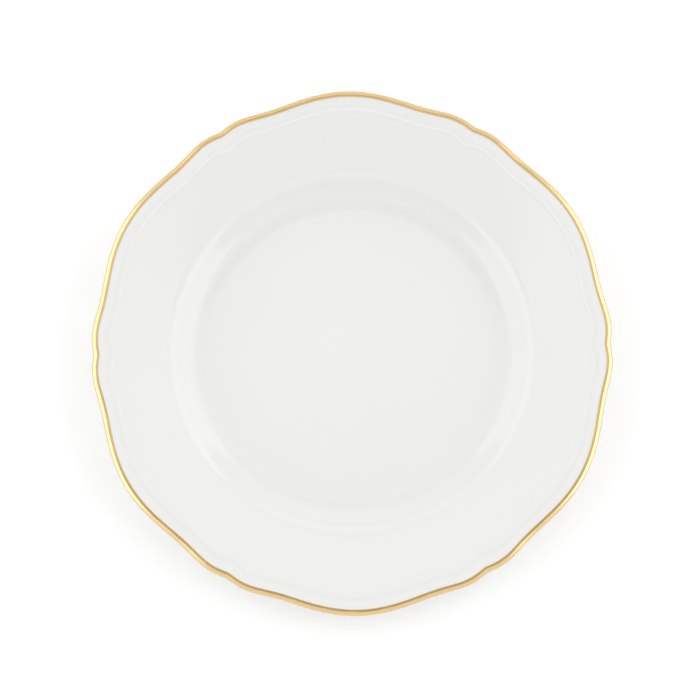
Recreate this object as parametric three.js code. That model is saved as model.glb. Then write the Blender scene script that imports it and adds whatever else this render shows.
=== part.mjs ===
// A scalloped porcelain dinner plate, lying on its foot ring.
//
// Millimetres, +Z up. The origin is the centre of the plane that the foot rests on. One lobe
// of the rim points along +Y, and two of the six notches between lobes lie on the X axis.
//
// The plate is one fired porcelain body, a thin glaze coat over it in two patches that stop
// at the bare foot, and a band of gold over the lip. All four are closed solids made from
// one section, so each coat lies face to face on what is under it.

import * as THREE from 'three';

// ---- Overall size ----

const lobeRadius = 135;         // plate centre to the crown of a lobe, over the gold
const plateHeight = 25;         // table to the top of the lip

// ---- Scalloped outline: radii are given as a depth below the lobes' crowns ----

const lobeCount = 6;
const notchDepth = 2.5;         // the small valley between two lobes
const shoulderDepth = 1.5;      // the little swelling on each side of a notch
const dipDepth = 3.0;           // the hollow between a shoulder and a lobe
const shoulderAngle = 4.4;      // degrees from the notch
const dipAngle = 13;            // degrees from the notch
const notchSharpness = 0.7;     // below 1, the notch is tighter than the shoulders beside it
const hollowSharpness = 0.85;   // below 1, the dip is tighter than the lobe beside it

// ---- Embossed line that follows the scallop ----

const lineInset = 9.9;          // crown of a lobe to the middle of the line
const lineWidth = 1.6;
const lineHeight = 0.2;
const lineNotchExtra = 1.3;     // how much deeper the line's notch is than the rim's

// ---- Flange and well ----

const vergeRadius = 93;         // the verge, where the flange turns down into the well
const vergeReach = 3;           // how far its curve reaches along the wall and the flange
const flangeRise = 8.5;         // verge to the top of the lip
const flangeArch = 0.1;         // how far the flange arches over a straight line
const wallRun = 12;             // level distance from the foot of the well's wall to the verge
const wallFootReach = 7.5;      // how far the curve from floor to wall reaches along each

// ---- Thickness of the porcelain ----

const lipThickness = 2.4;
const lipRoll = 2.7;            // level width of the arc that rolls the face over the edge
const lipDrop = 0.95;           // how far that arc comes down
const flangeThickness = 3.2;
const wallThickness = 3.8;
const floorThickness = 3.8;

// ---- Foot ring ----

const footHeight = 3.4;         // table to the ceiling of the recess under the floor
const footWidth = 3.2;
const footChamfer = 0.5;        // softened edges of the resting face
const footBlend = 2;            // hollow curve from the foot into the plate's underside
const bareHeight = 0.9;         // the foot is wiped clean of glaze up to here

// ---- Coats ----

const glazeThickness = 0.25;
const goldThickness = 0.1;
const goldWidth = 3.3;          // on the face, from the lip inwards

// ---- Fineness: steps between the outline's own angles, in each half of a repeat ----

const stepsNotchToShoulder = 3;
const stepsShoulderToDip = 2;
const stepsDipToLobe = 3;
const stepsOverLip = 2;
const stepsUnderLip = 2;
const stepsRoundWallFoot = 4;
const stepsRoundVerge = 3;

// ---- Outline ----

const halfRepeat = 180 / lobeCount;

// Eases from 0 to 1, level at both ends. A sharpness below 1 hurries the start.
function ease(t, sharpness) {
  return (1 - Math.cos(Math.PI * t ** sharpness)) / 2;
}

// How far the outline lies inside the lobes' crowns, at an angle in degrees from a notch.
function scallopDepth(fromNotch, deepest) {
  if (fromNotch < shoulderAngle) {
    const t = ease(fromNotch / shoulderAngle, notchSharpness);
    return THREE.MathUtils.lerp(deepest, shoulderDepth, t);
  }
  if (fromNotch < dipAngle) {
    const t = (dipAngle - fromNotch) / (dipAngle - shoulderAngle);
    return THREE.MathUtils.lerp(dipDepth, shoulderDepth, ease(t, 1 / hollowSharpness));
  }
  const t = (fromNotch - dipAngle) / (halfRepeat - dipAngle);
  return THREE.MathUtils.lerp(dipDepth, 0, ease(t, hollowSharpness));
}

const lineRadius = lobeRadius - lineInset;
const lineInner = lineRadius - lineWidth / 2;
const lineOuter = lineRadius + lineWidth / 2;
const flangeStart = vergeRadius + vergeReach;
const goldInner = lobeRadius - goldWidth;

// The radius that a point of the section takes at an angle in degrees from a notch. The well
// stays round, the line has its own deeper notches, and the lip has the outline's.
function scallopedRadius(radius, fromNotch) {
  const rimDepth = scallopDepth(fromNotch, notchDepth);
  const lineDepth = scallopDepth(fromNotch, notchDepth + lineNotchExtra);
  if (radius <= lineInner) {
    return radius - lineDepth * THREE.MathUtils.smoothstep(radius, flangeStart, lineInner);
  }
  const t = THREE.MathUtils.smoothstep(radius, lineOuter, goldInner);
  return radius - THREE.MathUtils.lerp(lineDepth, rimDepth, t);
}

// The directions round the plate, in degrees, in which the section is placed.
function placeDirections() {
  const fromNotch = [0];
  const addSteps = (from, to, steps) => {
    for (let i = 1; i <= steps; i += 1) fromNotch.push(from + ((to - from) * i) / steps);
  };
  addSteps(0, shoulderAngle, stepsNotchToShoulder);
  addSteps(shoulderAngle, dipAngle, stepsShoulderToDip);
  addSteps(dipAngle, halfRepeat, stepsDipToLobe);

  const directions = [];
  for (let lobe = 0; lobe < lobeCount; lobe += 1) {
    const notch = lobe * 2 * halfRepeat;
    for (const angle of fromNotch) directions.push({ angle: notch + angle, fromNotch: angle });
    for (const angle of fromNotch.slice(1, -1).reverse()) {
      directions.push({ angle: notch + 2 * halfRepeat - angle, fromNotch: angle });
    }
  }
  return directions;
}

const directions = placeDirections();

// ---- Section of the porcelain, from the middle of the floor outwards and back underneath ----

const coats = glazeThickness + goldThickness;
const edgeRadius = lobeRadius - coats;
const crestHeight = plateHeight - coats;
const lipRadius = lipThickness / 2;
const floorTop = footHeight + floorThickness;
const vergeHeight = plateHeight - flangeRise;
const wallFoot = vergeRadius - wallRun;
const wallSlope = Math.atan2(vergeHeight - floorTop, wallRun);
const footOuter = wallFoot + footWidth / 2;
const footInner = wallFoot - footWidth / 2;

// Height of the flange's face between the verge and the crest of the lip.
function flangeTop(radius) {
  const crest = edgeRadius - lipRoll;
  const t = (radius - vergeRadius) / (crest - vergeRadius);
  return THREE.MathUtils.lerp(vergeHeight, crestHeight, t) + flangeArch * Math.sin(Math.PI * t);
}

// Where a point of the section lies at an angle in degrees from a notch. It slides along the
// flange, so that the flange stays a plain turned surface and only its outline is scalloped.
function scalloped([radius, height], fromNotch) {
  if (radius <= flangeStart) return [radius, height];
  const reach = scallopedRadius(radius, fromNotch);
  return [reach, height + flangeTop(reach) - flangeTop(radius)];
}

const flangeMiddle = (flangeStart + lineInner) / 2;

// Radius of the wall's underside at a height.
function underWall(height) {
  const faceRadius = wallFoot + (height - floorTop) / Math.tan(wallSlope);
  return faceRadius + wallThickness / Math.sin(wallSlope);
}

// The curve that rounds a corner of the section, reaching equally far along both its sides.
function rounded(before, corner, after, reach, steps) {
  const middle = new THREE.Vector2(...corner);
  const [start, end] = [before, after].map((side) => {
    return new THREE.Vector2(...side).sub(middle).setLength(reach).add(middle);
  });
  const curve = new THREE.QuadraticBezierCurve(start, middle, end);
  return curve.getPoints(steps).map((point) => point.toArray());
}

const axisEnd = [0, floorTop];
const wallFootCorner = [wallFoot, floorTop];
const vergeCorner = [vergeRadius, vergeHeight];
const flangeEnd = [flangeStart, flangeTop(flangeStart)];
const face = [
  axisEnd,
  ...rounded(axisEnd, wallFootCorner, vergeCorner, wallFootReach, stepsRoundWallFoot),
  ...rounded(wallFootCorner, vergeCorner, flangeEnd, vergeReach, stepsRoundVerge),
  [flangeMiddle, flangeTop(flangeMiddle)],
  [lineInner, flangeTop(lineInner)],
  [lineRadius, flangeTop(lineRadius) + lineHeight],
  [lineOuter, flangeTop(lineOuter)],
  [goldInner, flangeTop(goldInner)],
];

// The lip rolls from its level crest down to the edge in a broad arc, then tucks under it.
const rollRadius = (lipRoll ** 2 + lipDrop ** 2) / (2 * lipDrop);
const rollAngle = 2 * Math.atan(lipDrop / lipRoll);
const lip = [[edgeRadius - lipRoll, crestHeight]];
for (let i = 1; i <= stepsOverLip; i += 1) {
  const turned = (rollAngle * i) / stepsOverLip;
  lip.push([
    edgeRadius - lipRoll + rollRadius * Math.sin(turned),
    crestHeight - rollRadius + rollRadius * Math.cos(turned),
  ]);
}
for (let i = 1; i <= stepsUnderLip; i += 1) {
  const turned = ((Math.PI / 2) * i) / stepsUnderLip;
  lip.push([
    edgeRadius - lipRadius + lipRadius * Math.cos(turned),
    crestHeight - lipDrop - (lipThickness - lipDrop) * Math.sin(turned),
  ]);
}
const back = [
  [flangeMiddle, flangeTop(flangeMiddle) - flangeThickness],
  [underWall(vergeHeight - flangeThickness), vergeHeight - flangeThickness],
  [underWall(footHeight + footBlend), footHeight + footBlend],
  [footOuter, footHeight],
  [footOuter, bareHeight],
];
const foot = [
  [footOuter - footChamfer, 0],
  [footInner + footChamfer, 0],
];
const recess = [
  [footInner, bareHeight],
  [footInner, footHeight - footBlend / 2],
  [footInner - footBlend / 2, footHeight],
  [0, footHeight],
];
const bodySection = [...face, ...lip, ...back, ...foot, ...recess];

// The same stretch of the section moved outwards, square to the porcelain, by a distance. A
// stretch's first and last points move square to the one edge that they end.
function raised(points, distance) {
  const squareTo = (from, to) => {
    return new THREE.Vector2(from[1] - to[1], to[0] - from[0]).normalize();
  };
  return points.map((point, i) => {
    const arriving = squareTo(points[Math.max(i - 1, 0)], points[Math.max(i, 1)]);
    const last = points.length - 1;
    const leaving = squareTo(points[Math.min(i, last - 1)], points[Math.min(i + 1, last)]);
    const square = arriving.add(leaving);
    const stretch = (2 * distance) / square.lengthSq();
    return [point[0] + square.x * stretch, point[1] + square.y * stretch];
  });
}

// A coat on a stretch of the section: its outer side out, its inner side back.
function coatSection(points, innerDistance, outerDistance) {
  return [...raised(points, outerDistance), ...raised(points, innerDistance).reverse()];
}

// ---- Solids ----

// Carries a section round the plate. A point on the axis becomes one vertex. The section
// runs clockwise, seen with the radius to the right and the height up.
function turnSection(section) {
  const positions = [];
  const rings = section.map((point) => {
    if (point[0] === 0) {
      positions.push(0, 0, point[1]);
      return new Array(directions.length).fill(positions.length / 3 - 1);
    }
    return directions.map(({ angle, fromNotch }) => {
      const turned = THREE.MathUtils.degToRad(angle);
      const [reach, height] = scalloped(point, fromNotch);
      positions.push(reach * Math.cos(turned), reach * Math.sin(turned), height);
      return positions.length / 3 - 1;
    });
  });

  // The four corners between two rings don't lie in one plane, so the fold between them runs
  // the same way whichever way the section is read: two coats that touch then fold alike.
  const triangles = [];
  const addTriangle = (a, b, c) => {
    if (a !== b && b !== c && c !== a) triangles.push(a, b, c);
  };
  rings.forEach((ring, i) => {
    const m = (i + 1) % rings.length;
    const next = rings[m];
    const outwards = section[i][0] === section[m][0]
      ? section[i][1] < section[m][1]
      : section[i][0] < section[m][0];
    directions.forEach((direction, j) => {
      const k = (j + 1) % directions.length;
      const leavingNotch = direction.fromNotch < directions[k].fromNotch;
      if (outwards === leavingNotch) {
        addTriangle(ring[j], next[j], next[k]);
        addTriangle(ring[j], next[k], ring[k]);
      } else {
        addTriangle(ring[j], next[j], ring[k]);
        addTriangle(next[j], next[k], ring[k]);
      }
    });
  });

  const geometry = new THREE.BufferGeometry();
  geometry.setAttribute('position', new THREE.Float32BufferAttribute(positions, 3));
  geometry.setIndex(triangles);
  geometry.computeVertexNormals();
  return geometry;
}

const porcelain = new THREE.MeshStandardMaterial({ color: 0xe6e2da, roughness: 0.75, metalness: 0 });
const glaze = new THREE.MeshStandardMaterial({ color: 0xefeeea, roughness: 0.08, metalness: 0 });
const gold = new THREE.MeshStandardMaterial({ color: 0xe0b25c, roughness: 0.2, metalness: 1 });

function addPiece(group, name, section, material) {
  const mesh = new THREE.Mesh(turnSection(section), material);
  mesh.name = name;
  group.add(mesh);
}

const plate = new THREE.Group();
const glazedOutside = [...face, ...lip, ...back];
const coatedOutside = coatSection(glazedOutside, 0, glazeThickness);
addPiece(plate, 'porcelain_body', bodySection, porcelain);
addPiece(plate, 'glaze_coat', coatedOutside, glaze);
addPiece(plate, 'recess_glaze', coatSection(recess, 0, glazeThickness), glaze);

// The gold lies on the glaze's own vertices, from its inner edge on the face to under the lip.
const glazeOuter = raised(glazedOutside, glazeThickness);
const goldOuter = raised(glazedOutside, coats);
const goldStart = face.length - 1;
const goldEnd = face.length + lip.length;
const goldSection = [
  ...goldOuter.slice(goldStart, goldEnd),
  ...glazeOuter.slice(goldStart, goldEnd).reverse(),
];
addPiece(plate, 'gold_rim_band', goldSection, gold);

export default plate;
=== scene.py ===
"""A scalloped porcelain dinner plate with a gold edge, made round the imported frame."""

import math
from collections import namedtuple

import bmesh
import bpy
from bpy.props import FloatProperty, FloatVectorProperty, IntProperty, PointerProperty
from bpy.types import Operator, Panel, PropertyGroup
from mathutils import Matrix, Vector


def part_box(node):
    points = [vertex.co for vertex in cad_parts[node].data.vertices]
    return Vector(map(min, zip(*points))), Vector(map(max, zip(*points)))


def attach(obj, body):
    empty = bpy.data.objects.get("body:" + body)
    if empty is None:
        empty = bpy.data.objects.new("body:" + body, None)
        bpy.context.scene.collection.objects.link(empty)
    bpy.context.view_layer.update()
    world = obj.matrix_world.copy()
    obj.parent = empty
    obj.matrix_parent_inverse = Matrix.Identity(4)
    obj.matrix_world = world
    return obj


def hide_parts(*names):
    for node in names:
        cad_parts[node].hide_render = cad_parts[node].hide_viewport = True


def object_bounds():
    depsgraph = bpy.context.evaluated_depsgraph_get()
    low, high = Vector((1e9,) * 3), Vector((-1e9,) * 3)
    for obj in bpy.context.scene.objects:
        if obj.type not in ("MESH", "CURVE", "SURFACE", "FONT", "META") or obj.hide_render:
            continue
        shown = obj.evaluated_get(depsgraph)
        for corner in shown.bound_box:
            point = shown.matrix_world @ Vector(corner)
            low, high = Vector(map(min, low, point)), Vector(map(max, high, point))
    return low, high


bl_info = {
    "name": "Scalloped Dinner Plate",
    "version": (1, 0, 0),
    "blender": (4, 5, 0),
    "location": "3D View > Sidebar > Plate",
    "description": "Builds a glazed porcelain plate with a scalloped gold rim",
    "category": "Add Mesh",
}

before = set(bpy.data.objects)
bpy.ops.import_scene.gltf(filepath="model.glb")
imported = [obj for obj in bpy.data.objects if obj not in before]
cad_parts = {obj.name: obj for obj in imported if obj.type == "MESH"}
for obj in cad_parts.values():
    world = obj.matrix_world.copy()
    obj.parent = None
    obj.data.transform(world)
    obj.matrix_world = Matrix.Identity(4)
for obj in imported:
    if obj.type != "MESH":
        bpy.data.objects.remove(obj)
CAD_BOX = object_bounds()
RECESS_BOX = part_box("recess_glaze")

MM = 0.001


# ---- Sizes and colours ----


def length(name, description, millimetres):
    """A length that the user can change, given in millimetres."""
    return FloatProperty(
        name=name, description=description, default=millimetres * MM, min=0, precision=5,
        subtype="DISTANCE", unit="LENGTH",
    )


def angle(name, description, degrees):
    """An angle that the user can change, given in degrees."""
    return FloatProperty(
        name=name, description=description, default=math.radians(degrees),
        subtype="ANGLE", unit="ROTATION",
    )


def colour(name, description, red, green, blue):
    """A colour that the user can change, in linear values."""
    return FloatVectorProperty(
        name=name, description=description, default=(red, green, blue), min=0, max=1,
        size=3, subtype="COLOR",
    )


class PlateSizes(PropertyGroup):
    """The plate's sizes. The first two and three of the foot's start from the frame."""

    lobe_radius: length("Lobe radius", "Centre to the crown of a lobe", CAD_BOX[1].y / MM)
    rim_height: length("Rim height", "Table to the top of the lip", CAD_BOX[1].z / MM)

    lobes: IntProperty(name="Lobes", description="Lobes round the rim", default=6, min=3)
    notch_depth: length("Notch depth", "Valley between two lobes, below their crowns", 2.5)
    shoulder_depth: length("Shoulder depth", "Swelling beside a notch, below the crowns", 1.5)
    dip_depth: length("Dip depth", "Hollow beside a shoulder, below the crowns", 3.0)
    shoulder_angle: angle("Shoulder angle", "Direction of a shoulder from its notch", 4.4)
    dip_angle: angle("Dip angle", "Direction of a dip from its notch", 13)

    line_inset: length("Line inset", "Crown of a lobe to the embossed line", 9.9)
    line_width: length("Line width", "Width of the embossed line", 1.6)
    line_height: length("Line height", "Height of the embossed line", 0.2)
    line_notch_extra: length("Line notch", "How much deeper the line's notches are", 1.3)

    verge_radius: length("Verge radius", "Where the flange turns down into the well", 93)
    verge_reach: length("Verge reach", "Curve of the verge, along wall and flange", 3)
    flange_rise: length("Flange rise", "Verge to the top of the lip", 8.5)
    flange_arch: length("Flange arch", "Rise of the flange over a straight line", 0.1)
    wall_run: length("Wall run", "Foot of the well's wall to the verge, level", 12)
    wall_foot_reach: length("Wall foot reach", "Curve from floor to wall, along each", 7.5)

    lip_thickness: length("Lip thickness", "Porcelain at the lip", 2.4)
    lip_roll: length("Lip roll", "Arc that rolls the face over the edge, level", 2.7)
    lip_drop: length("Lip drop", "How far that arc comes down", 0.95)
    flange_thickness: length("Flange thickness", "Porcelain of the flange", 3.2)
    wall_thickness: length("Wall thickness", "Porcelain of the well's wall", 3.8)
    floor_thickness: length("Floor thickness", "Porcelain of the floor", 3.8)

    foot_inner: length("Foot inner radius", "Inner side of the foot ring", RECESS_BOX[1].x / MM)
    foot_height: length("Foot height", "Table to the recess's ceiling", RECESS_BOX[1].z / MM)
    bare_height: length("Bare height", "Glaze is wiped off up to here", RECESS_BOX[0].z / MM)
    foot_width: length("Foot width", "Width of the foot ring", 3.2)
    foot_blend: length("Foot blend", "Curve from the foot to the underside", 2)

    glaze_thickness: length("Glaze thickness", "Glaze over the porcelain", 0.25)
    gold_thickness: length("Gold thickness", "Gold over the glaze", 0.1)
    gold_width: length("Gold width", "Gold on the face, from the lip inwards", 3.3)


class PlateFinish(PropertyGroup):
    """The colours of the plate's finishes."""

    glaze: colour("Glaze", "White porcelain under clear glaze", 0.80, 0.797, 0.782)
    # Pooled glaze, also used as painted shade at the foot of the well's wall and just outside the
    # embossed line.
    pooled_glaze_and_shade: colour("Pooled glaze", "Glaze where it has run deep", 0.66, 0.70, 0.66)
    # Thin glaze, also used as painted highlight on the verge and the embossed line, and as painted
    # light on the well's wall.
    thin_glaze_and_highlight: colour("Thin glaze", "Glaze drawn thin over a ridge", 0.84, 0.84, 0.825)
    porcelain: colour("Porcelain", "Bare fired porcelain", 0.70, 0.67, 0.61)
    rubbed: colour("Rubbed foot", "Foot greyed by tables and shelves", 0.42, 0.40, 0.37)
    gold: colour("Gold", "Burnished gold", 0.82, 0.57, 0.19)
    # Painted sheen: paler gold along the band's outer edge, which turns its highlights cream.
    gold_painted_sheen: colour("Worn gold", "Gold rubbed thin along the very edge", 0.79, 0.60, 0.34)
    # Painted dark reflection along the band's inner edge, where the brush also left the gold a little
    # thick.
    gold_edge_reflection: colour("Gold edge", "Gold where the brush left it thick", 0.40, 0.29, 0.15)
    floor: colour("Floor", "Pale floor under the plate", 1.0, 1.0, 1.0)


# ---- Section of the porcelain ----

# A corner of the section: where it is, and how far its rounding reaches along each side.
Corner = namedtuple("Corner", "radius height reach")

# About how long the straight steps are that follow the flange's curve.
FLANGE_STEP = 4 * MM
# Share of the embossed line's width that its feet's roundings reach. Its top's reach twice that.
LINE_SOFTNESS = 1 / 6
# Embossed line to where the underside turns towards the lip, and that turn's rounding.
UNDERSIDE_TURN = 16 * MM
UNDERSIDE_REACH = 8 * MM
# Rounding where the underside turns from the flange down the wall.
BEND_REACH = 3 * MM
# Roundings of the foot: where it meets the body, and where it rests.
FOOT_REACH = 0.9 * MM
RESTING_REACH = 0.5 * MM
# Room left at each end of the lip's arc, and the rounding that goes there.
LIP_ROOM = 0.4 * MM
LIP_EASE = 0.9 * LIP_ROOM
# Share of its room that the rounding takes under the lip, and at the verge.
LIP_SHARE = 0.95
VERGE_SHARE = 0.98


def blend(low, high, t):
    """The value between low and high at t."""
    return low + (high - low) * t


def smooth(value, low, high):
    """0 below low and 1 above high, with a smooth rise between."""
    t = min(max((value - low) / (high - low), 0), 1)
    return t * t * (3 - 2 * t)


class Section:
    """The porcelain's section, worked out from the sizes."""

    def __init__(self, sizes):
        self.sizes = sizes
        self.coats = sizes.glaze_thickness + sizes.gold_thickness
        self.edge = sizes.lobe_radius - self.coats
        self.crest = sizes.rim_height - self.coats
        self.lip_radius = sizes.lip_thickness / 2
        self.floor_top = sizes.foot_height + sizes.floor_thickness
        self.verge_height = sizes.rim_height - sizes.flange_rise
        self.flange_start = sizes.verge_radius + sizes.verge_reach
        self.line_radius = sizes.lobe_radius - sizes.line_inset
        self.line_inner = self.line_radius - sizes.line_width / 2
        self.line_outer = self.line_radius + sizes.line_width / 2
        self.gold_inner = sizes.lobe_radius - sizes.gold_width
        self.foot_outer = sizes.foot_inner + sizes.foot_width
        self.wall_foot = sizes.verge_radius - sizes.wall_run
        self.wall_slope = math.atan2(self.verge_height - self.floor_top, sizes.wall_run)

    def flange_top(self, radius):
        """Height of the flange's face at a radius."""
        verge = self.sizes.verge_radius
        t = (radius - verge) / (self.edge - self.sizes.lip_roll - verge)
        arch = self.sizes.flange_arch * math.sin(math.pi * t)
        return blend(self.verge_height, self.crest, t) + arch

    def on_face(self, radius, height):
        """Whether a point of the section is on the plate's face, and not underneath."""
        up_wall = (radius - self.wall_foot) * math.tan(self.wall_slope)
        face = self.floor_top + max(up_wall, 0)
        if radius > self.sizes.verge_radius:
            face = self.flange_top(radius)
        return height > face - self.lip_radius

    def face(self):
        """From the middle of the floor out to where the gold starts."""
        sizes = self.sizes
        soft = sizes.line_width * LINE_SOFTNESS
        corners = [
            Corner(0, self.floor_top, 0),
            Corner(self.wall_foot, self.floor_top, sizes.wall_foot_reach),
            Corner(sizes.verge_radius, self.verge_height, VERGE_SHARE * sizes.verge_reach),
            Corner(self.flange_start, self.flange_top(self.flange_start), 0),
        ]
        corners += self.flange_steps(self.flange_start, self.line_inner)
        corners += [
            Corner(self.line_inner, self.flange_top(self.line_inner), soft),
            Corner(self.line_radius, self.flange_top(self.line_radius) + sizes.line_height, 2 * soft),
            Corner(self.line_outer, self.flange_top(self.line_outer), soft),
        ]
        corners += self.flange_steps(self.line_outer, self.gold_inner)
        corners.append(Corner(self.gold_inner, self.flange_top(self.gold_inner), 0))
        return corners

    def flange_steps(self, start, end, below=0):
        """Points along the flange's curve between two radii, or along its underside."""
        count = max(round(abs(end - start) / FLANGE_STEP), 1)
        radii = [blend(start, end, i / count) for i in range(1, count)]
        return [Corner(r, self.flange_top(r) - below, 0) for r in radii]

    def lip(self):
        """Round the lip, from its face to its underside."""
        roll, drop = self.sizes.lip_roll, self.sizes.lip_drop
        tangent = (roll**2 + drop**2) / (2 * roll)
        return [
            Corner(self.edge - roll, self.crest, LIP_EASE),
            Corner(self.edge - roll + tangent, self.crest, tangent - LIP_ROOM),
            Corner(self.edge, self.crest - drop, LIP_EASE),
            Corner(self.edge, self.crest - self.sizes.lip_thickness, LIP_SHARE * self.lip_radius),
        ]

    def under_wall(self, height):
        """Radius of the wall's underside at a height."""
        face = self.wall_foot + (height - self.floor_top) / math.tan(self.wall_slope)
        return face + self.sizes.wall_thickness / math.sin(self.wall_slope)

    def back(self):
        """From under the lip in to the outer side of the foot, where the glaze ends."""
        sizes = self.sizes
        thick = sizes.flange_thickness
        bend = self.verge_height - thick
        low = sizes.foot_height + sizes.foot_blend
        inwards = self.line_inner - UNDERSIDE_TURN
        corners = [Corner(inwards, self.flange_top(inwards) - thick, UNDERSIDE_REACH)]
        corners += self.flange_steps(inwards, self.under_wall(bend), thick)
        corners += [
            Corner(self.under_wall(bend), bend, BEND_REACH),
            Corner(self.under_wall(low), low, FOOT_REACH),
            Corner(self.foot_outer, sizes.foot_height, FOOT_REACH),
            Corner(self.foot_outer, sizes.bare_height, 0),
        ]
        return corners

    def foot(self):
        """The bare resting edge of the foot."""
        return [
            Corner(self.foot_outer, 0, RESTING_REACH),
            Corner(self.sizes.foot_inner, 0, RESTING_REACH),
        ]

    def recess(self):
        """From the inner side of the foot, where the glaze starts, to the middle."""
        sizes = self.sizes
        return [
            Corner(sizes.foot_inner, sizes.bare_height, 0),
            Corner(sizes.foot_inner, sizes.foot_height, FOOT_REACH),
            Corner(0, sizes.foot_height, 0),
        ]


def offset(corners, distance):
    """The same stretch moved out, square to the porcelain, with its roundings adjusted."""
    moved = []
    last = len(corners) - 1
    for i, corner in enumerate(corners):
        sides = []
        for a, b in ((max(i, 1) - 1, max(i, 1)), (min(i, last - 1), min(i, last - 1) + 1)):
            run = corners[b].radius - corners[a].radius
            rise = corners[b].height - corners[a].height
            sides.append(Vector((-rise, run)).normalized())
        turn = sides[1].angle_signed(sides[0])
        square = sides[0] + sides[1]
        square *= 2 * distance / square.length_squared
        reach = corner.reach
        if reach:
            reach = max(reach - distance * math.tan(turn / 2), 0)
        moved.append(Corner(corner.radius + square.x, corner.height + square.y, reach))
    return moved


# ---- Turning a section into a solid ----

# Powers on the outline's waves: below 1, a hollow is more pointed than in a plain wave.
NOTCH_SHARPNESS = 0.7
HOLLOW_SHARPNESS = 0.85
# Segments of a rounding that reaches further than this, and of one that doesn't.
WIDE_REACH = 0.6 * MM
WIDE_SEGMENTS = 8
NARROW_SEGMENTS = 4
# Steps round one lobe, and how strongly they crowd towards its notches.
FINE_STEPS = 64
COARSE_STEPS = 32
NOTCH_CROWDING = 0.65
# The attribute that holds a place's radius before scalloping, negative off the face.
UNSCALLOPED = "unscalloped_radius"
# The gold's own UV map.
BAND_MAP = "band"
MERGE_DISTANCE = 0.001 * MM
SHARP_ANGLE = math.radians(50)


def scallop_depth(sizes, from_notch, deepest):
    """How far the outline lies inside the lobes' crowns, at an angle from a notch."""
    if from_notch < sizes.shoulder_angle:
        t = from_notch / sizes.shoulder_angle
        low, high, sharpness = deepest, sizes.shoulder_depth, NOTCH_SHARPNESS
    elif from_notch < sizes.dip_angle:
        t = (sizes.dip_angle - from_notch) / (sizes.dip_angle - sizes.shoulder_angle)
        low, high, sharpness = sizes.dip_depth, sizes.shoulder_depth, 1 / HOLLOW_SHARPNESS
    else:
        t = (from_notch - sizes.dip_angle) / (math.pi / sizes.lobes - sizes.dip_angle)
        low, high, sharpness = sizes.dip_depth, 0, HOLLOW_SHARPNESS
    return blend(low, high, (1 - math.cos(math.pi * min(t, 1) ** sharpness)) / 2)


def scalloped(section, radius, from_notch):
    """The radius that a point of the section takes at an angle from a notch."""
    sizes = section.sizes
    rim_depth = scallop_depth(sizes, from_notch, sizes.notch_depth)
    line_depth = scallop_depth(sizes, from_notch, sizes.notch_depth + sizes.line_notch_extra)
    if radius <= section.line_inner:
        return radius - line_depth * smooth(radius, section.flange_start, section.line_inner)
    t = smooth(radius, section.line_outer, section.gold_inner)
    return radius - blend(line_depth, rim_depth, t)


def scallop(bm, section):
    """Crowds the turned section's places towards the notches, and scallops its rim."""
    repeat = 2 * math.pi / section.sizes.lobes
    for vertex in bm.verts:
        radius = math.hypot(vertex.co.x, vertex.co.y)
        if radius < MERGE_DISTANCE:
            continue
        turned = math.atan2(vertex.co.y, vertex.co.x)
        crowded = turned - NOTCH_CROWDING / section.sizes.lobes * math.sin(
            section.sizes.lobes * turned
        )
        if radius > section.flange_start:
            nearest = round(crowded / repeat) * repeat
            reach = scalloped(section, radius, abs(crowded - nearest))
            vertex.co.z += section.flange_top(reach) - section.flange_top(radius)
            radius = reach
        vertex.co.x = radius * math.cos(crowded)
        vertex.co.y = radius * math.sin(crowded)


def draw_rounded(bm, corners):
    """Joins the corners up, closes them off the plate's axis, and rounds them."""
    points = [bm.verts.new((c.radius, 0, c.height)) for c in corners]
    for point, following in zip(points, points[1:]):
        bm.edges.new((point, following))
    if corners[0].radius > 0:
        bm.edges.new((points[-1], points[0]))
    for point, corner in zip(points, corners):
        if corner.reach > 0:
            bmesh.ops.bevel(
                bm, geom=[point], offset=corner.reach, offset_type="OFFSET",
                segments=WIDE_SEGMENTS if corner.reach > WIDE_REACH else NARROW_SEGMENTS,
                affect="VERTICES", profile=0.5, material=-1,
            )


def spin_lobes(bm, lobes, steps_per_lobe):
    """Spins the section through one lobe, and copies that lobe round the axis."""
    repeat = 2 * math.pi / lobes
    about = {"cent": (0, 0, 0), "axis": (0, 0, 1), "dvec": (0, 0, 0)}
    bmesh.ops.spin(
        bm, geom=bm.verts[:] + bm.edges[:], angle=repeat, steps=steps_per_lobe,
        use_merge=False, **about,
    )
    bmesh.ops.spin(
        bm, geom=bm.verts[:] + bm.edges[:] + bm.faces[:], angle=2 * math.pi - repeat,
        steps=lobes - 1, use_duplicate=True, **about,
    )
    bmesh.ops.remove_doubles(bm, verts=bm.verts[:], dist=MERGE_DISTANCE)


def turned_solid(name, section, corners, material, steps_per_lobe):
    """Rounds a closed section's corners, spins it about the plate's axis and scallops it."""
    bm = bmesh.new()
    unscalloped = bm.verts.layers.float.new(UNSCALLOPED)
    draw_rounded(bm, corners)
    for vertex in bm.verts:
        radius, height = vertex.co.x, vertex.co.z
        vertex[unscalloped] = radius if section.on_face(radius, height) else -radius
    spin_lobes(bm, section.sizes.lobes, steps_per_lobe)
    scallop(bm, section)
    bmesh.ops.recalc_face_normals(bm, faces=bm.faces[:])
    mesh = bpy.data.meshes.new(name)
    bm.to_mesh(mesh)
    bm.free()
    mesh.shade_smooth()
    mesh.set_sharp_from_angle(angle=SHARP_ANGLE)
    mesh.materials.append(material)
    piece = bpy.data.objects.new(name, mesh)
    bpy.context.scene.collection.objects.link(piece)
    return piece


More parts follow.
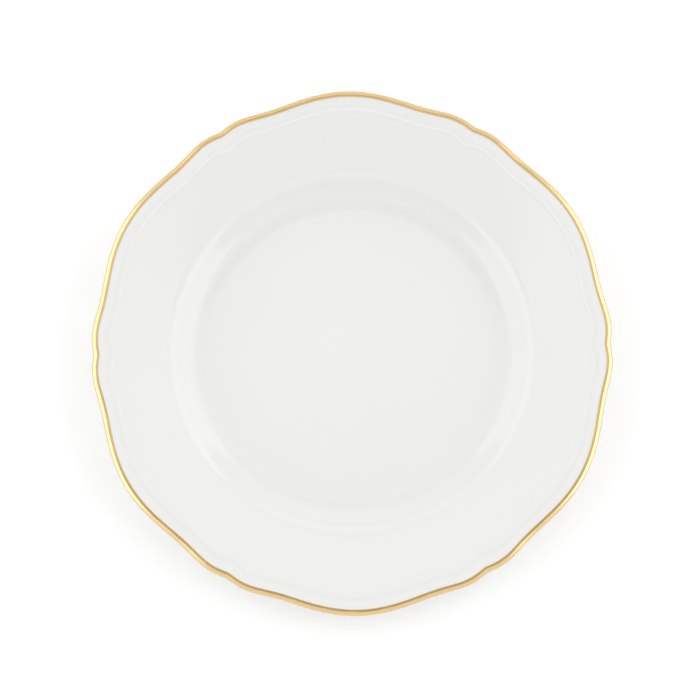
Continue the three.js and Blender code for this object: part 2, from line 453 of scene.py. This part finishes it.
def map_band(piece, section):
    """A UV map along the band and across it: 0 at its inner edge, 1 at the rim's edge."""
    mesh = piece.data
    layer = mesh.uv_layers.new(name=BAND_MAP)
    sizes = section.sizes
    repeat = 2 * math.pi / sizes.lobes
    for loop in mesh.loops:
        place = mesh.vertices[loop.vertex_index].co
        turned = math.atan2(place.y, place.x)
        from_notch = abs(turned - round(turned / repeat) * repeat)
        rim = sizes.lobe_radius - scallop_depth(sizes, from_notch, sizes.notch_depth)
        across = 1 - (rim - math.hypot(place.x, place.y)) / sizes.gold_width
        layer.uv[loop.index].vector = (turned / repeat, across)


# ---- Materials ----

# Sizes of the kiln's marks on a finish.
Marks = namedtuple("Marks", "ripple cloud speck")
# A band of colour round the plate: its radius, how far out it fades, and its strength.
Band = namedtuple("Band", "radius reach strength")

# Detail of the noise that makes the ripples and the clouds.
RIPPLE_DETAIL = 2
CLOUD_DETAIL = 3
# A speck is full up to the first distance from its middle, and gone from the second.
SPECK_FADE = (0.04, 0.07)
# Only cells of the specks' pattern whose own random value is past this have a speck.
SPECK_CHOICE = (0.90, 0.93)
# The stretch of the clouds' noise that roughness and tone follow.
CLOUD_RANGE = (0.3, 0.7)

# The glaze: its clouds' own stretch of the noise, and how far clouds and specks colour it.
GLAZE_CLOUD_RANGE = (0.35, 0.75)
GLAZE_CLOUDINESS = 0.05
GLAZE_SPECK_STRENGTH = 0.12
GLAZE_ROUGHNESS = (0.08, 0.13)
GLAZE_IOR = 1.5

# The bare foot: its rubbed patches' stretch of the noise, and how far they colour it.
RUBBED_RANGE = (0.45, 0.65)
RUBBED_STRENGTH = 0.45
PORCELAIN_ROUGHNESS = (0.55, 0.75)

# Shares of the gold's width: how far its tones wander, and where they change.
GOLD_WANDER = (-0.05, 0.05)
# Stretch of the band's width over which the painted sheen comes in.
GOLD_PAINTED_SHEEN = (0.34, 0.64)
# Stretch of the band's width over which the painted dark reflection fades out.
GOLD_EDGE_REFLECTION = (0.24, 0.42)
GOLD_ROUGHNESS = (0.16, 0.26)

# The floor's own glow near the plate and far off, and where it changes, in metres.
FLOOR_GLOW = (0.12, 0.5)
FLOOR_GLOW_FADE = (0.5, 1.2)


class Nodes:
    """Adds and links the nodes of one tree."""

    def __init__(self, tree):
        self.tree = tree

    def add(self, kind, inputs=None, **settings):
        """A node with its settings, and with values or links on its inputs."""
        node = self.tree.nodes.new(kind)
        for key, value in settings.items():
            setattr(node, key, value)
        for key, value in (inputs or {}).items():
            if isinstance(value, bpy.types.NodeSocket):
                self.tree.links.new(value, node.inputs[key])
            else:
                node.inputs[key].default_value = value
        return node

    def math(self, operation, first, second):
        """The result of a sum on two values or links."""
        node = self.add("ShaderNodeMath", {0: first, 1: second}, operation=operation)
        return node.outputs[0]

    def mix(self, factor, first, second):
        """A colour between two colours."""
        inputs = {0: factor, 6: first, 7: second}
        return self.add("ShaderNodeMix", inputs, data_type="RGBA").outputs[2]

    def bands(self, radius, *bands):
        """The strongest of some bands at a radius."""
        strongest = 0
        for band in bands:
            away = self.math("ABSOLUTE", self.math("SUBTRACT", radius, band.radius), 0)
            here = self.spread(away, 0, band.reach, band.strength, 0)
            strongest = self.math("MAXIMUM", strongest, here)
        return strongest

    def bump(self, height, strength, distance):
        """The surface's direction, turned by a height."""
        inputs = {"Height": height, "Strength": strength, "Distance": distance}
        return self.add("ShaderNodeBump", inputs).outputs[0]

    def shown(self):
        """1 for rays from the camera, off gloss or through glass, and 0 for the others."""
        rays = self.add("ShaderNodeLightPath").outputs
        shown = self.math("MAXIMUM", rays["Is Camera Ray"], rays["Is Glossy Ray"])
        return self.math("MAXIMUM", shown, rays["Is Transmission Ray"])

    def spread(self, value, low, high, new_low=0, new_high=1):
        """A value moved from one range to another, and held inside it."""
        inputs = {"Value": value, "From Min": low, "From Max": high}
        inputs.update({"To Min": new_low, "To Max": new_high})
        return self.add("ShaderNodeMapRange", inputs, clamp=True).outputs[0]


def new_material(name):
    """An empty node material, with its output and the helper that fills it."""
    material = bpy.data.materials.new(name)
    material.use_nodes = True
    material.node_tree.nodes.clear()
    nodes = Nodes(material.node_tree)
    output = nodes.add("ShaderNodeOutputMaterial")
    return material, nodes, output.inputs["Surface"]


def full(rgb):
    """A colour with its alpha."""
    return (*rgb, 1)


def fired_surface_group():
    """The marks of the kiln, shared by glaze, gold and bare porcelain."""
    name = "Fired surface"
    if name in bpy.data.node_groups:
        return bpy.data.node_groups[name]
    tree = bpy.data.node_groups.new(name, "ShaderNodeTree")
    for socket, kind in (("Vector", "NodeSocketVector"), ("Ripple Size", "NodeSocketFloat"),
                         ("Cloud Size", "NodeSocketFloat"), ("Speck Size", "NodeSocketFloat")):
        tree.interface.new_socket(socket, in_out="INPUT", socket_type=kind)
    for socket in ("Ripple", "Clouds", "Specks"):
        tree.interface.new_socket(socket, in_out="OUTPUT", socket_type="NodeSocketFloat")
    nodes = Nodes(tree)
    entry = nodes.add("NodeGroupInput").outputs
    close = nodes.add("NodeGroupOutput")

    def noise(size, detail):
        scale = nodes.math("DIVIDE", 1, size)
        inputs = {"Vector": entry["Vector"], "Scale": scale, "Detail": detail}
        return nodes.add("ShaderNodeTexNoise", inputs).outputs[0]

    ripple = noise(entry["Ripple Size"], RIPPLE_DETAIL)
    clouds = noise(entry["Cloud Size"], CLOUD_DETAIL)
    speck_scale = nodes.math("DIVIDE", 1, entry["Speck Size"])
    cells = nodes.add(
        "ShaderNodeTexVoronoi", {"Vector": entry["Vector"], "Scale": speck_scale}
    )
    near = nodes.spread(cells.outputs["Distance"], *SPECK_FADE, 1, 0)
    chance = nodes.add("ShaderNodeSeparateColor", {0: cells.outputs["Color"]}).outputs[0]
    specks = nodes.math("MULTIPLY", near, nodes.spread(chance, *SPECK_CHOICE))
    for socket, value in (("Ripple", ripple), ("Clouds", clouds), ("Specks", specks)):
        tree.links.new(value, close.inputs[socket])
    return tree


def fired_surface(nodes, marks):
    """Places the shared kiln marks in a material, with its own sizes."""
    inputs = {
        "Vector": nodes.add("ShaderNodeTexCoord").outputs["Object"],
        "Ripple Size": marks.ripple,
        "Cloud Size": marks.cloud,
        "Speck Size": marks.speck,
    }
    return nodes.add("ShaderNodeGroup", inputs, node_tree=fired_surface_group()).outputs


def white_glaze(finish, section):
    """Clear glossy glaze over white porcelain. It is greyer in the face's hollows as pooled glaze and
    painted shade, and lighter on the verge, the embossed line and the wall as thin glaze and painted
    highlight.
    """
    material, nodes, surface = new_material("white_glaze")
    marks = fired_surface(nodes, Marks(ripple=9 * MM, cloud=60 * MM, speck=11 * MM))
    radius = nodes.add("ShaderNodeAttribute", attribute_name=UNSCALLOPED).outputs["Fac"]
    # Painted shade, partly pooled glaze: greyer just outside the embossed line and at the foot of the
    # well's wall, with random clouds added.
    pooled_glaze_and_shade = nodes.bands(
        radius,
        Band(section.line_outer + 0.9 * MM, reach=1.8 * MM, strength=0.18),
        Band(section.wall_foot - 3 * MM, reach=4.5 * MM, strength=0.06),
    )
    clouds = nodes.spread(marks["Clouds"], *GLAZE_CLOUD_RANGE, 0, GLAZE_CLOUDINESS)
    pooled_glaze_and_shade = nodes.math("ADD", pooled_glaze_and_shade, clouds)
    # Painted highlight, partly thin glaze: lighter on the verge and the embossed line, with painted
    # light on the wall above its foot.
    thin_glaze_and_highlight = nodes.bands(
        radius,
        Band(section.wall_foot + 3 * MM, reach=6 * MM, strength=0.4),
        Band(section.sizes.verge_radius - 0.5 * MM, reach=3 * MM, strength=0.65),
        Band(section.line_radius, reach=1 * MM, strength=0.45),
    )
    specks = nodes.math("MULTIPLY", marks["Specks"], GLAZE_SPECK_STRENGTH)
    tone = nodes.mix(pooled_glaze_and_shade, full(finish.glaze), full(finish.pooled_glaze_and_shade))
    tone = nodes.mix(thin_glaze_and_highlight, tone, full(finish.thin_glaze_and_highlight))
    tone = nodes.mix(specks, tone, full(finish.rubbed))
    shader = nodes.add("ShaderNodeBsdfPrincipled", {
        "Base Color": tone,
        "Roughness": nodes.spread(marks["Clouds"], *CLOUD_RANGE, *GLAZE_ROUGHNESS),
        "IOR": GLAZE_IOR,
        "Normal": nodes.bump(marks["Ripple"], strength=0.25, distance=0.05 * MM),
    })
    nodes.tree.links.new(shader.outputs[0], surface)
    return material


def bare_porcelain(finish):
    """Bare fired porcelain, matt and fine grained, greyed where it rests."""
    material, nodes, surface = new_material("bare_porcelain")
    marks = fired_surface(nodes, Marks(ripple=0.35 * MM, cloud=14 * MM, speck=4 * MM))
    rubbed = nodes.spread(marks["Clouds"], *RUBBED_RANGE, 0, RUBBED_STRENGTH)
    tone = nodes.mix(rubbed, full(finish.porcelain), full(finish.rubbed))
    tone = nodes.mix(marks["Specks"], tone, full(finish.rubbed))
    shader = nodes.add("ShaderNodeBsdfPrincipled", {
        "Base Color": tone,
        "Roughness": nodes.spread(marks["Clouds"], *CLOUD_RANGE, *PORCELAIN_ROUGHNESS),
        "Normal": nodes.bump(marks["Ripple"], strength=0.5, distance=0.05 * MM),
    })
    nodes.tree.links.new(shader.outputs[0], surface)
    return material


def rim_gold(finish):
    """Burnished gold. It has a painted dark reflection along its inner edge, where the brush also
    left it a little thick, and a painted sheen of paler gold along its outer edge.
    """
    material, nodes, surface = new_material("rim_gold")
    marks = fired_surface(nodes, Marks(ripple=1.5 * MM, cloud=12 * MM, speck=6 * MM))
    place = nodes.add("ShaderNodeUVMap", uv_map=BAND_MAP).outputs[0]
    across = nodes.add("ShaderNodeSeparateXYZ", {0: place}).outputs["Y"]
    wander = nodes.spread(marks["Clouds"], *CLOUD_RANGE, *GOLD_WANDER)
    across = nodes.math("ADD", across, wander)
    # Painted sheen: the gold turns paler towards the outer edge of the band.
    painted_sheen = nodes.spread(across, *GOLD_PAINTED_SHEEN)
    # Painted dark reflection, with a little thick gold: the band darkens towards its inner edge.
    thick = nodes.spread(across, *GOLD_EDGE_REFLECTION, 1, 0)
    tone = nodes.mix(painted_sheen, full(finish.gold), full(finish.gold_painted_sheen))
    tone = nodes.mix(thick, tone, full(finish.gold_edge_reflection))
    shader = nodes.add("ShaderNodeBsdfPrincipled", {
        "Base Color": tone,
        "Metallic": 1.0,
        "Roughness": nodes.spread(marks["Clouds"], *CLOUD_RANGE, *GOLD_ROUGHNESS),
        "Normal": nodes.bump(marks["Ripple"], strength=0.3, distance=0.02 * MM),
    })
    nodes.tree.links.new(shader.outputs[0], surface)
    return material


def pale_floor(finish):
    """A white floor that keeps the plate's shadow and shows as clean white around it."""
    material, nodes, surface = new_material("pale_floor")
    lit = nodes.add("ShaderNodeBsdfDiffuse", {"Color": full(finish.floor)})
    place = nodes.add("ShaderNodeNewGeometry").outputs["Position"]
    away = nodes.add("ShaderNodeVectorMath", {0: place}, operation="LENGTH").outputs["Value"]
    strength = nodes.spread(away, *FLOOR_GLOW_FADE, *FLOOR_GLOW)
    strength = nodes.math("MULTIPLY", nodes.shown(), strength)
    glow = nodes.add("ShaderNodeEmission", {"Strength": strength})
    both = nodes.add("ShaderNodeAddShader", {0: lit.outputs[0], 1: glow.outputs[0]})
    nodes.tree.links.new(both.outputs[0], surface)
    return material


# ---- Stage ----

# A rectangular softbox, in metres. Its brightness is that of its lit face.
Softbox = namedtuple("Softbox", "name place target width depth brightness")

SOFTBOXES = (
    Softbox("overhead_softbox", (0, 0.25, 1.1), (0, 0.25, 0), width=1.2, depth=0.5, brightness=0.9),
    Softbox("left_softbox", (-1.1, 0.1, 0.87), (0, 0.05, 0), width=1.8, depth=0.88, brightness=1.15),
    Softbox("right_softbox", (1.1, 0.1, 0.87), (0, 0.05, 0), width=1.8, depth=0.88, brightness=1.25),
)
CAMERA_LENS = 85.0
CAMERA_AZIMUTH = math.radians(-1.2)
CAMERA_ELEVATION = math.radians(84)
CAMERA_DISTANCE = 0.8493
CAMERA_LOOK = Vector((-1.1 * MM, 0.05 * MM, 20 * MM))
CAMERA_CLIP = (0.01, 20)
FLOOR_SIZE = 8.0
# Light from the sky: straight above, and from low on the plate's near and far sides.
ZENITH_STRENGTH = 0.281
NEAR_STRENGTH = 2.42
FAR_STRENGTH = 2.74
# How fast the low light falls off upwards, and the heights between which it comes in.
HORIZON_POWER = 2
HORIZON_FADE = (0.05, 0.15)


def add_floor(finish):
    """The floor that the plate stands on."""
    bm = bmesh.new()
    bmesh.ops.create_grid(bm, x_segments=1, y_segments=1, size=FLOOR_SIZE / 2)
    mesh = bpy.data.meshes.new("floor")
    bm.to_mesh(mesh)
    bm.free()
    mesh.materials.append(pale_floor(finish))
    floor = bpy.data.objects.new("floor", mesh)
    bpy.context.scene.collection.objects.link(floor)


def add_camera():
    """The camera, high over the plate and a little in front of its middle."""
    back = Vector((
        math.sin(CAMERA_AZIMUTH) * math.cos(CAMERA_ELEVATION),
        -math.cos(CAMERA_AZIMUTH) * math.cos(CAMERA_ELEVATION),
        math.sin(CAMERA_ELEVATION),
    ))
    data = bpy.data.cameras.new("camera")
    data.lens = CAMERA_LENS
    data.clip_start, data.clip_end = CAMERA_CLIP
    camera = bpy.data.objects.new("camera", data)
    camera.location = CAMERA_LOOK + back * CAMERA_DISTANCE
    camera.rotation_euler = (-back).to_track_quat("-Z", "Y").to_euler()
    bpy.context.scene.collection.objects.link(camera)
    bpy.context.scene.camera = camera


def add_softbox(box):
    """An area light as large as the softbox, turned to its target."""
    data = bpy.data.lights.new(box.name, "AREA")
    data.shape = "RECTANGLE"
    data.size, data.size_y = box.width, box.depth
    data.energy = box.brightness * math.pi * box.width * box.depth
    light = bpy.data.objects.new(box.name, data)
    light.location = box.place
    towards = Vector(box.target) - Vector(box.place)
    light.rotation_euler = towards.to_track_quat("-Z", "Y").to_euler()
    bpy.context.scene.collection.objects.link(light)


def light_world():
    """A sky that is brightest a little over the horizon, and plain white where it shows."""
    world = bpy.data.worlds.new("studio")
    bpy.context.scene.world = world
    world.use_nodes = True
    world.node_tree.nodes.clear()
    nodes = Nodes(world.node_tree)
    direction = nodes.add("ShaderNodeTexCoord").outputs["Generated"]
    direction = nodes.add("ShaderNodeSeparateXYZ", {0: direction}).outputs
    height, far = direction["Z"], direction["Y"]
    low = nodes.math("POWER", nodes.spread(height, 0, 1, 1, 0), HORIZON_POWER)
    low = nodes.math("MULTIPLY", low, nodes.spread(height, *HORIZON_FADE))
    horizon = nodes.spread(far, -1, 1, NEAR_STRENGTH, FAR_STRENGTH)
    strength = nodes.spread(low, 0, 1, ZENITH_STRENGTH, horizon)
    strength = nodes.spread(nodes.shown(), 0, 1, strength, 1)
    backdrop = nodes.add("ShaderNodeBackground", {"Color": (1, 1, 1, 1), "Strength": strength})
    nodes.add("ShaderNodeOutputWorld", {0: backdrop.outputs[0]})


# ---- Operators ----


class PLATE_OT_porcelain_body(Operator):
    """Make the porcelain body, which shows at the bare foot"""

    bl_idname = "plate.porcelain_body"
    bl_label = "Porcelain Body"

    def execute(self, context):
        section = Section(context.scene.plate_sizes)
        corners = section.face() + section.lip() + section.back() + section.foot() + section.recess()
        material = bare_porcelain(context.scene.plate_finish)
        piece = turned_solid("fired_body", section, corners, material, COARSE_STEPS)
        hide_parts("porcelain_body")
        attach(piece, "root")
        return {"FINISHED"}


class PLATE_OT_glaze(Operator):
    """Make the two coats of glaze: over the face and back, and inside the foot"""

    bl_idname = "plate.glaze"
    bl_label = "Glaze"

    def execute(self, context):
        sizes = context.scene.plate_sizes
        section = Section(sizes)
        material = white_glaze(context.scene.plate_finish, section)
        coats = (
            ("outer_glaze", "glaze_coat", section.face() + section.lip() + section.back()),
            ("foot_recess_glaze", "recess_glaze", section.recess()),
        )
        for name, node, corners in coats:
            shell = offset(corners, sizes.glaze_thickness) + corners[::-1]
            piece = turned_solid(name, section, shell, material, FINE_STEPS)
            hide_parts(node)
            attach(piece, "root")
        return {"FINISHED"}


class PLATE_OT_gold(Operator):
    """Make the gold band over the lip"""

    bl_idname = "plate.gold"
    bl_label = "Gold Band"

    def execute(self, context):
        sizes = context.scene.plate_sizes
        section = Section(sizes)
        start = Corner(section.gold_inner, section.flange_top(section.gold_inner), 0)
        under = section.crest - sizes.lip_thickness
        end = Corner(section.edge - section.lip_radius, under, 0)
        corners = [start, *section.lip(), end]
        shell = offset(corners, section.coats) + offset(corners, sizes.glaze_thickness)[::-1]
        material = rim_gold(context.scene.plate_finish)
        piece = turned_solid("gold_band", section, shell, material, FINE_STEPS)
        map_band(piece, section)
        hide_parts("gold_rim_band")
        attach(piece, "root")
        return {"FINISHED"}


class PLATE_OT_stage(Operator):
    """Make the floor, the studio light and the camera"""

    bl_idname = "plate.stage"
    bl_label = "Stage"

    def execute(self, context):
        add_floor(context.scene.plate_finish)
        light_world()
        for box in SOFTBOXES:
            add_softbox(box)
        add_camera()
        context.scene.view_settings.view_transform = "Standard"
        return {"FINISHED"}


class PLATE_PT_panel(Panel):
    """Lists the plate's pieces and sizes"""

    bl_idname = "PLATE_PT_panel"
    bl_label = "Dinner Plate"
    bl_space_type = "VIEW_3D"
    bl_region_type = "UI"
    bl_category = "Plate"

    def draw(self, context):
        for operator in OPERATORS:
            self.layout.operator(operator.bl_idname)
        for group in (context.scene.plate_sizes, context.scene.plate_finish):
            column = self.layout.column(align=True)
            for key in group.bl_rna.properties.keys():
                if key not in ("rna_type", "name"):
                    column.prop(group, key)


OPERATORS = (PLATE_OT_porcelain_body, PLATE_OT_glaze, PLATE_OT_gold, PLATE_OT_stage)
CLASSES = (PlateSizes, PlateFinish, *OPERATORS, PLATE_PT_panel)


def register():
    """Registers the classes and puts the sizes and colours on the scene."""
    for cls in CLASSES:
        bpy.utils.register_class(cls)
    bpy.types.Scene.plate_sizes = PointerProperty(type=PlateSizes)
    bpy.types.Scene.plate_finish = PointerProperty(type=PlateFinish)


def unregister():
    """Takes the sizes, the colours and the classes away again."""
    del bpy.types.Scene.plate_finish
    del bpy.types.Scene.plate_sizes
    for cls in reversed(CLASSES):
        bpy.utils.unregister_class(cls)


def main():
    """Makes every piece and the stage."""
    register()
    bpy.ops.plate.porcelain_body()
    bpy.ops.plate.glaze()
    bpy.ops.plate.gold()
    bpy.ops.plate.stage()


if __name__ == "__main__":
    main()
